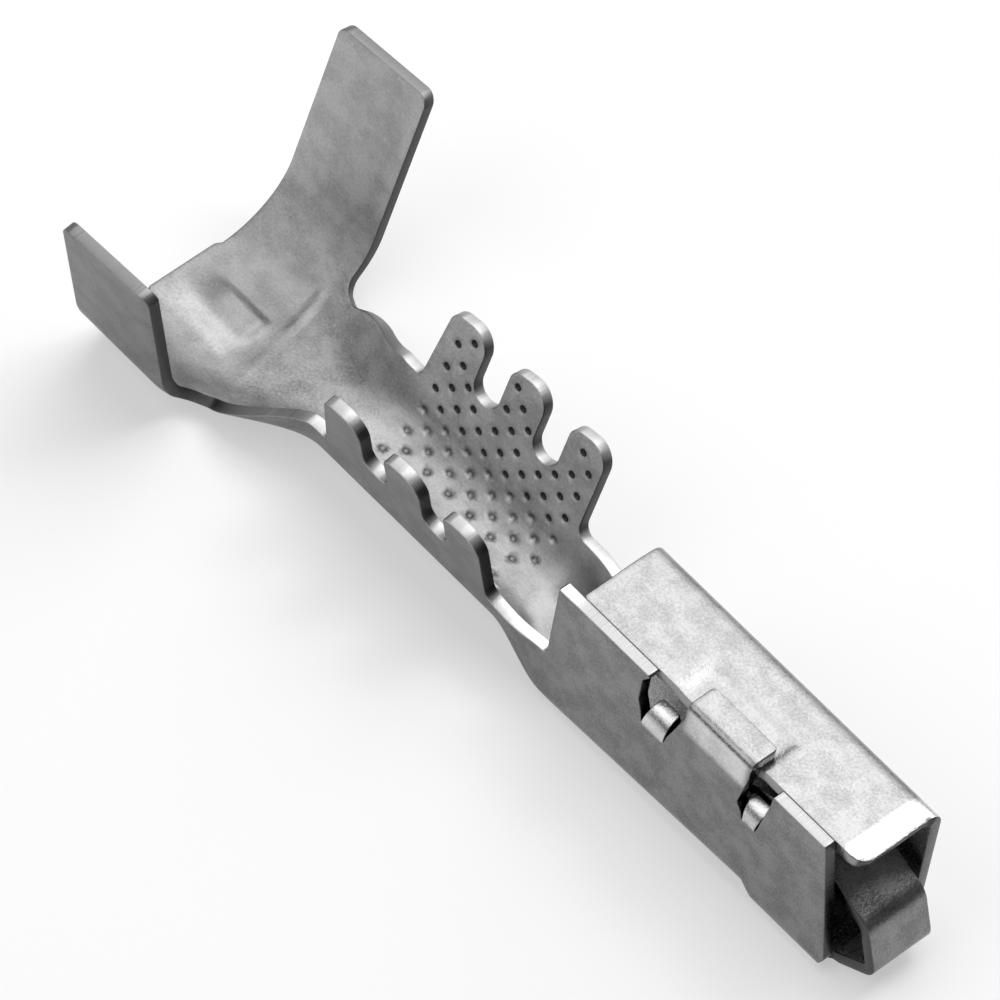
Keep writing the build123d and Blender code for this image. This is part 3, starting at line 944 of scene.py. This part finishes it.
    def store_marks(self, mesh: bpy.types.Mesh, verts: Array, edge: Array, upward: Array,
                    depth: Array) -> None:
        """Stores what the finish reads on every point, painted light and shade too: the outer side, the
        inner side, then the edge.

        Args:
            mesh: the folded sheet's mesh.
            verts: places on the blank.
            edge: place numbers of the outline.
            upward: how far each place of the outline faces up, from -1 to 1.
            depth: depth of the pit at each place, as a share of a pit's full depth.
        """
        x, g = verts.T
        count, size = len(verts), len(edge)
        through = self.edge_profile()[:, 1] / self.blank.sheet
        levels = len(through)
        rim = self.painted_light.rim(self.blank, x[edge], g[edge], upward)
        # Painted light share on the outer side, the inner side and the edge.
        painted_light_share = [self.painted_light.outer(self.blank, x, g), self.painted_light.inner(x, g), np.tile(rim, levels)]
        cut = np.repeat(self.painted_light.cut_share.share(through), size)
        flat = np.concatenate([verts, verts, np.tile(verts[edge], (levels, 1))])
        # Painted shade in the pits.
        pit_shade = [np.zeros(count), self.painted_light.pits(g) * depth, np.zeros(levels * size)]
        store(mesh, "pit_shade", np.concatenate(pit_shade))
        store(mesh, "painted_light_share", np.concatenate(painted_light_share))
        store(mesh, "rim", np.concatenate([np.zeros(2 * count), cut]))
        store(mesh, "flat", np.concatenate([flat, np.zeros((len(flat), 1))], axis=1))

    def build(self) -> bpy.types.Object:
        """Makes the folded sheet with both faces, its pits and its rounded, sheared edges.

        The sheared edge is a quarter circle, a straight run through the sheet and another quarter circle,
        carried round the outline.
        """
        blank = self.blank
        verts, tris, edge, out, depth = self.flat_mesh()
        LOG.info("blank: %d places, %d triangles", len(verts), len(tris))
        x, g = verts.T
        zone = blank.zones(x, g)
        outer, normal = blank.place(x, g, zone)
        inner = outer + normal * (blank.sheet - depth)[:, None]
        reach = self.reach_outward(x[edge], g[edge], zone[edge], out)
        profile = self.edge_profile()
        rim = outer[edge] + reach * profile[:, :1, None] + normal[edge] * profile[:, 1:, None]
        points = np.concatenate([outer, inner, rim.reshape(-1, 3)])
        points[:, 0] -= blank.along.pad_middle
        flips = self.wound_outwards(outer, normal, tris)
        faces_outer = tris[:, ::-1] if flips else tris
        faces_inner = (tris if flips else tris[:, ::-1]) + len(verts)
        strips = self.strips(edge, len(verts), len(profile))
        mesh = new_mesh("terminal_sheet", points * MM, [faces_outer, faces_inner, strips])
        self.store_marks(mesh, verts, edge, unit(reach)[:, 2], depth / self.serration.depth)
        return new_object("terminal_sheet", mesh)

    @staticmethod
    def wound_outwards(outer: Array, normal: Array, tris: Array) -> bool:
        """Whether the blank's triangles have to be turned over on the outer side."""
        a, b, c = (outer[tris[:, i]] for i in range(3))
        facing = np.sum(np.cross(b - a, c - a) * normal[tris[:, 0]], axis=1)
        return bool(np.median(facing) > 0)


def new_mesh(name: str, points: Array, face_groups: Iterable[Array]) -> bpy.types.Mesh:
    """A smooth mesh from points and groups of faces.

    Args:
        name: the mesh's name.
        points: rows of X, Y and Z in metres.
        face_groups: arrays of corner numbers, one row a face.

    Returns:
        The mesh.
    """
    mesh = bpy.data.meshes.new(name)
    faces = [row for group in face_groups for row in group.tolist()]
    mesh.from_pydata(points.tolist(), [], faces)
    mesh.validate()
    mesh.shade_smooth()
    return mesh


def store(mesh: bpy.types.Mesh, name: str, values: Array) -> None:
    """Stores a number or a vector on every point of a mesh."""
    kind, part = ("FLOAT", "value") if values.ndim == 1 else ("FLOAT_VECTOR", "vector")
    layer = mesh.attributes.new(name, kind, "POINT")
    layer.data.foreach_set(part, values.astype(np.float32).ravel())


def new_object(name: str, mesh: bpy.types.Mesh) -> bpy.types.Object:
    """Puts a mesh into the scene as an object at the origin."""
    piece = bpy.data.objects.new(name, mesh)
    bpy.context.scene.collection.objects.link(piece)
    return piece


class Wire:
    """A shader socket that takes part in Python expressions."""

    def __init__(self, tree: "Shader", socket: Any) -> None:
        """Keeps the tree and the socket that carries the value."""
        self.tree = tree
        self.socket = socket

    def _math(self, operation: str, first: Any, second: Any) -> "Wire":
        """A Math node between two values."""
        return self.tree.add("ShaderNodeMath", {"operation": operation}, {0: first, 1: second})

    def __add__(self, other: Any) -> "Wire":
        """Sum."""
        return self._math("ADD", self, other)

    __radd__ = __add__

    def __sub__(self, other: Any) -> "Wire":
        """Difference."""
        return self._math("SUBTRACT", self, other)

    def __rsub__(self, other: Any) -> "Wire":
        """Difference, with this value taken away."""
        return self._math("SUBTRACT", other, self)

    def __mul__(self, other: Any) -> "Wire":
        """Product."""
        return self._math("MULTIPLY", self, other)

    __rmul__ = __mul__

    def between(self, low: float, high: float) -> "Wire":
        """A share that runs from 0 at low to 1 at high and stays within them."""
        sockets = {"Value": self, "From Min": low, "From Max": high}
        return self.tree.add("ShaderNodeMapRange", {"interpolation_type": "SMOOTHSTEP"}, sockets)


class Shader:
    """One material's node tree and the few ways that it is built up."""

    def __init__(self, name: str) -> None:
        """Makes the material with an empty node tree."""
        self.material = bpy.data.materials.new(name)
        self.material.use_nodes = True
        self.nodes = self.material.node_tree.nodes
        self.links = self.material.node_tree.links
        self.nodes.clear()

    def add(self, kind: str, settings: dict[str, Any] | None = None, sockets: dict[Any, Any] | None = None,
            output: Any = 0) -> Wire:
        """Adds a node.

        Args:
            kind: the node's type.
            settings: properties that are set before the sockets.
            sockets: a value or a wire for each named or numbered input.
            output: the output that the returned wire carries.

        Returns:
            The chosen output.
        """
        node = self.nodes.new(kind)
        for key, value in (settings or {}).items():
            setattr(node, key, value)
        for key, value in (sockets or {}).items():
            if isinstance(value, Wire):
                self.links.new(value.socket, node.inputs[key])
            else:
                node.inputs[key].default_value = value
        return Wire(self, node.outputs[output])

    def mix_colour(self, share: Any, first: Any, second: Any) -> Wire:
        """A colour between two colours."""
        return self.add("ShaderNodeMix", {"data_type": "RGBA"}, {0: share, 6: first, 7: second}, 2)

    def noise(self, place: Wire, scale: float, detail: float, roughness: float) -> Wire:
        """A noise value at a place."""
        sockets = {"Vector": place, "Scale": scale, "Detail": detail, "Roughness": roughness}
        return self.add("ShaderNodeTexNoise", {}, sockets, "Fac")

    def attribute(self, name: str, output: str = "Fac") -> Wire:
        """What the mesh stores on its points: a number, or with the output Vector a vector."""
        return self.add("ShaderNodeAttribute", {"attribute_name": name}, {}, output)

    def part(self, vector: Wire, axis: str) -> Wire:
        """One of a vector's three parts."""
        return self.add("ShaderNodeSeparateXYZ", {}, {"Vector": vector}, axis)

    def finish(self, surface: Wire) -> bpy.types.Material:
        """Joins the surface to the output and returns the material."""
        output = self.nodes.new("ShaderNodeOutputMaterial")
        self.links.new(surface.socket, output.inputs["Surface"])
        return self.material


@dataclass(frozen=True)
class TinFinish:
    """Satin tin plate on copper alloy strip, with a mottled, finely pitted skin, sheared edges, and painted
    light and shade.
    """

    # The first two colours are the plate's mottled tone with painted shade, the next two the same tone with
    # painted light.
    light: Colour = grey(0.29)
    dark: Colour = grey(0.14)
    lit_light: Colour = grey(0.78)
    lit_dark: Colour = grey(0.45)
    # The dark edge colour is partly the duller fracture zone and partly painted shade; the light one is a
    # painted highlight.
    sheared: Colour = grey(0.07)
    edge_highlight: Colour = grey(0.58)
    # Painted shade in the pits.
    pit_shade: Colour = grey(0.06)
    roughness: float = 0.28
    grip_roughness: float = 0.22
    grip_x: Pair = (0.5, -1.5)
    grain: float = 15.0
    grain_detail: Pair = (4.0, 0.65)
    grain_edges: Pair = (0.30, 0.75)
    grain_share: float = 0.55
    grain_roughness: float = 0.25
    mottle: float = 1.6
    mottle_detail: Pair = (3.0, 0.6)
    mottle_edges: Pair = (0.35, 0.65)
    mottle_roughness: float = 0.2
    pit_edges: Pair = (0.05, 0.6)
    bump_strength: float = 0.35
    bump_depth: float = 0.00002

    def material(self) -> bpy.types.Material:
        """Builds the material on the places of the blank, so that it follows the folds."""
        shader = Shader("tin_plate")
        flat = shader.attribute("flat", "Vector")
        spot = shader.noise(flat, self.grain, *self.grain_detail)
        patch = shader.noise(flat, self.mottle, *self.mottle_detail)
        painted_light_share = shader.attribute("painted_light_share")
        spots = spot.between(*self.grain_edges) * self.grain_share
        share = spots + patch.between(*self.mottle_edges) * (1 - self.grain_share)
        # Shaded and lit copies of the plate, mixed by the painted light share; then the edge colours and the
        # pits' painted shade.
        colour = shader.mix_colour(share, self.dark, self.light)
        inner = shader.mix_colour(share, self.lit_dark, self.lit_light)
        colour = shader.mix_colour(painted_light_share, colour, inner)
        edge = shader.mix_colour(painted_light_share, self.sheared, self.edge_highlight)
        colour = shader.mix_colour(shader.attribute("rim"), colour, edge)
        colour = shader.mix_colour(shader.attribute("pit_shade").between(*self.pit_edges), colour, self.pit_shade)
        rough = self.roughness + shader.part(flat, "X").between(*self.grip_x) * self.grip_roughness
        rough = rough + (spot - 0.5) * self.grain_roughness + (patch - 0.5) * self.mottle_roughness
        relief = {"Strength": self.bump_strength, "Distance": self.bump_depth, "Height": spot}
        bump = shader.add("ShaderNodeBump", {}, relief, "Normal")
        sockets = {"Base Color": colour, "Metallic": 1.0, "Roughness": rough, "Normal": bump}
        return shader.finish(shader.add("ShaderNodeBsdfPrincipled", {}, sockets))


@dataclass(frozen=True)
class PaleFloor:
    """A pale studio floor, seen partly as a white backdrop that keeps the shadow."""

    colour: Colour = grey(0.91)
    light: Colour = grey(0.93)
    white: Colour = grey(1.0)
    cloud: float = 20.0
    cloud_detail: Pair = (2.0, 0.5)
    roughness: float = 0.9
    glow_share: float = 0.45

    def material(self) -> bpy.types.Material:
        """Builds the floor's material from faintly mottled paint and a white glow."""
        shader = Shader("pale_floor")
        place = shader.add("ShaderNodeTexCoord", {}, {}, "Object")
        cloud = shader.noise(place, self.cloud, *self.cloud_detail)
        colour = shader.mix_colour(cloud, self.colour, self.light)
        sockets = {"Base Color": colour, "Roughness": self.roughness}
        paint = shader.add("ShaderNodeBsdfPrincipled", {}, sockets)
        glow = shader.add("ShaderNodeEmission", {}, {"Color": self.white, "Strength": 1.0})
        rays = ("Is Camera Ray", "Is Glossy Ray", "Is Transmission Ray")
        seen, mirrored, through = (shader.add("ShaderNodeLightPath", {}, {}, ray) for ray in rays)
        share = (seen + mirrored + through) * self.glow_share
        return shader.finish(shader.add("ShaderNodeMixShader", {}, {0: share, 1: paint, 2: glow}))


@dataclass(frozen=True)
class Lamp:
    """A soft square lamp that faces the origin: place and side in metres, power in watts."""

    name: str
    place: Place
    size: float
    energy: float

    def build(self) -> None:
        """Adds the lamp to the scene."""
        data = bpy.data.lights.new(self.name, "AREA")
        data.shape = "SQUARE"
        data.size = self.size
        data.energy = self.energy
        lamp = bpy.data.objects.new(self.name, data)
        bpy.context.scene.collection.objects.link(lamp)
        back = unit(np.array(self.place))
        right = unit(np.cross([0.0, 1.0, 0.0], back))
        lamp.matrix_world = pose([right, np.cross(back, right), back], np.array(self.place))


@dataclass(frozen=True)
class Studio:
    """Floor, lamps and world."""

    floor_size: float = 1.2
    lamps: tuple[Lamp, ...] = (
        Lamp("key", (-0.026, 0.029, 0.097), 0.10, 0.084),
        Lamp("back", (-0.035, 0.085, 0.050), 0.06, 0.018),
        Lamp("fill", (-0.036, -0.063, 0.076), 0.07, 0.028),
        Lamp("gleam", (0.001, 0.050, 0.092), 0.022, 0.010),
    )
    world_colour: Colour = grey(1.0)
    world_strength: float = 0.17

    def build_floor(self) -> None:
        """Lays the floor just under the terminal."""
        half = self.floor_size / 2
        points = np.array([(-half, -half, 0.0), (half, -half, 0.0), (half, half, 0.0), (-half, half, 0.0)])
        mesh = new_mesh("floor", points, [np.array([[0, 1, 2, 3]])])
        mesh.materials.append(PaleFloor().material())
        new_object("floor", mesh)

    def build_lights(self) -> None:
        """Sets up the lamps and the world."""
        for lamp in self.lamps:
            lamp.build()
        world = bpy.data.worlds.new("studio")
        bpy.context.scene.world = world
        world.use_nodes = True
        background = world.node_tree.nodes["Background"]
        background.inputs["Color"].default_value = self.world_colour
        background.inputs["Strength"].default_value = self.world_strength


@dataclass(frozen=True)
class PhotoCamera:
    """The camera that took the photograph, in millimetres in the terminal's own frame."""

    position: Place = (85.17, -109.57, 196.78)
    right: Place = (0.6662, 0.7373, 0.1124)
    down: Place = (0.6482, -0.4979, -0.5761)
    focal_share: float = 12.0384
    sensor: float = 36.0
    clip: Pair = (0.02, 5.0)

    def build(self, pad_middle: float) -> None:
        """Places the camera and makes it the scene's.

        Args:
            pad_middle: X of the frame's origin in the terminal's own lengths.
        """
        data = bpy.data.cameras.new("photo_camera")
        data.sensor_width = self.sensor
        data.lens = self.focal_share * self.sensor
        data.clip_start, data.clip_end = self.clip
        camera = bpy.data.objects.new("photo_camera", data)
        bpy.context.scene.collection.objects.link(camera)
        right, down = unit(np.array(self.right)), np.array(self.down)
        down = unit(down - right * (right @ down))
        place = (np.array(self.position) - np.array([pad_middle, 0.0, 0.0])) * MM
        camera.matrix_world = pose([right, -down, np.cross(right, -down)], place)
        bpy.context.scene.camera = camera


def main() -> None:
    """Builds the terminal, the studio and the camera in order."""
    logging.basicConfig(level=logging.INFO, format="%(name)s: %(message)s")
    sheet = FoldedSheet()
    piece = sheet.build()
    piece.data.materials.append(TinFinish().material())
    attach(piece, BODY)
    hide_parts(NODE)
    LOG.info("terminal_sheet: %d faces", len(piece.data.polygons))
    studio = Studio()
    studio.build_floor()
    studio.build_lights()
    PhotoCamera().build(sheet.blank.along.pad_middle)
    bpy.context.scene.view_settings.view_transform = "Standard"


if __name__ == "__main__":
    main()
